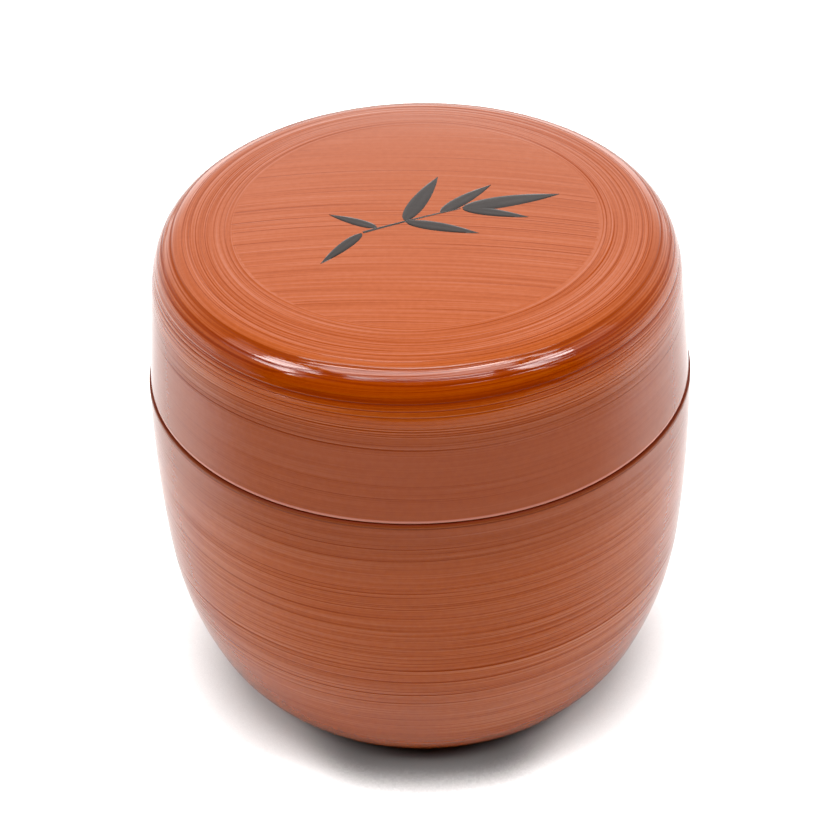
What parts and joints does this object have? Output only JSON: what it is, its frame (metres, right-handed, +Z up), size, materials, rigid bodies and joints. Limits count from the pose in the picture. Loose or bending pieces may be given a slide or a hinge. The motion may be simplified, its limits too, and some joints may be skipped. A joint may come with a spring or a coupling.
{
  "type": "tea caddy",
  "caption": "Round lacquered wooden tea caddy with a softly tapering cup body and a lid that slips over an upright lip and closes level with the wall.",
  "frame": {"origin": "middle of the foot, on the surface the caddy stands on", "axes": "+Z up along the turning axis; +X to the right and +Y to the back when the spray on the lid reads upright"},
  "size_m": [0.066, 0.066, 0.0651],
  "materials": {
    "turned_wood": "turned, sealed under lacquer",
    "brushed_lacquer": "vermilion-brown lacquer brushed on in lines, glossy",
    "black_lacquer": "black lacquer, polished",
    "ink_lacquer": "dark grey painted lacquer, satin"
  },
  "bodies": {
    "caddy_body": {"body_core": "turned_wood", "body_outer_lacquer": "brushed_lacquer", "body_inner_lacquer": "black_lacquer", "underside_lacquer": "black_lacquer"},
    "caddy_lid": {"lid_core": "turned_wood", "lid_outer_lacquer": "brushed_lacquer", "lid_inner_lacquer": "black_lacquer", "lid_motif": "ink_lacquer"}
  },
  "joints": [
    {"name": "lid_lift", "type": "slide", "parent": "caddy_body", "child": "caddy_lid", "axis": [0, 0, 1], "range_m": [0, 0.04]}
  ]
}
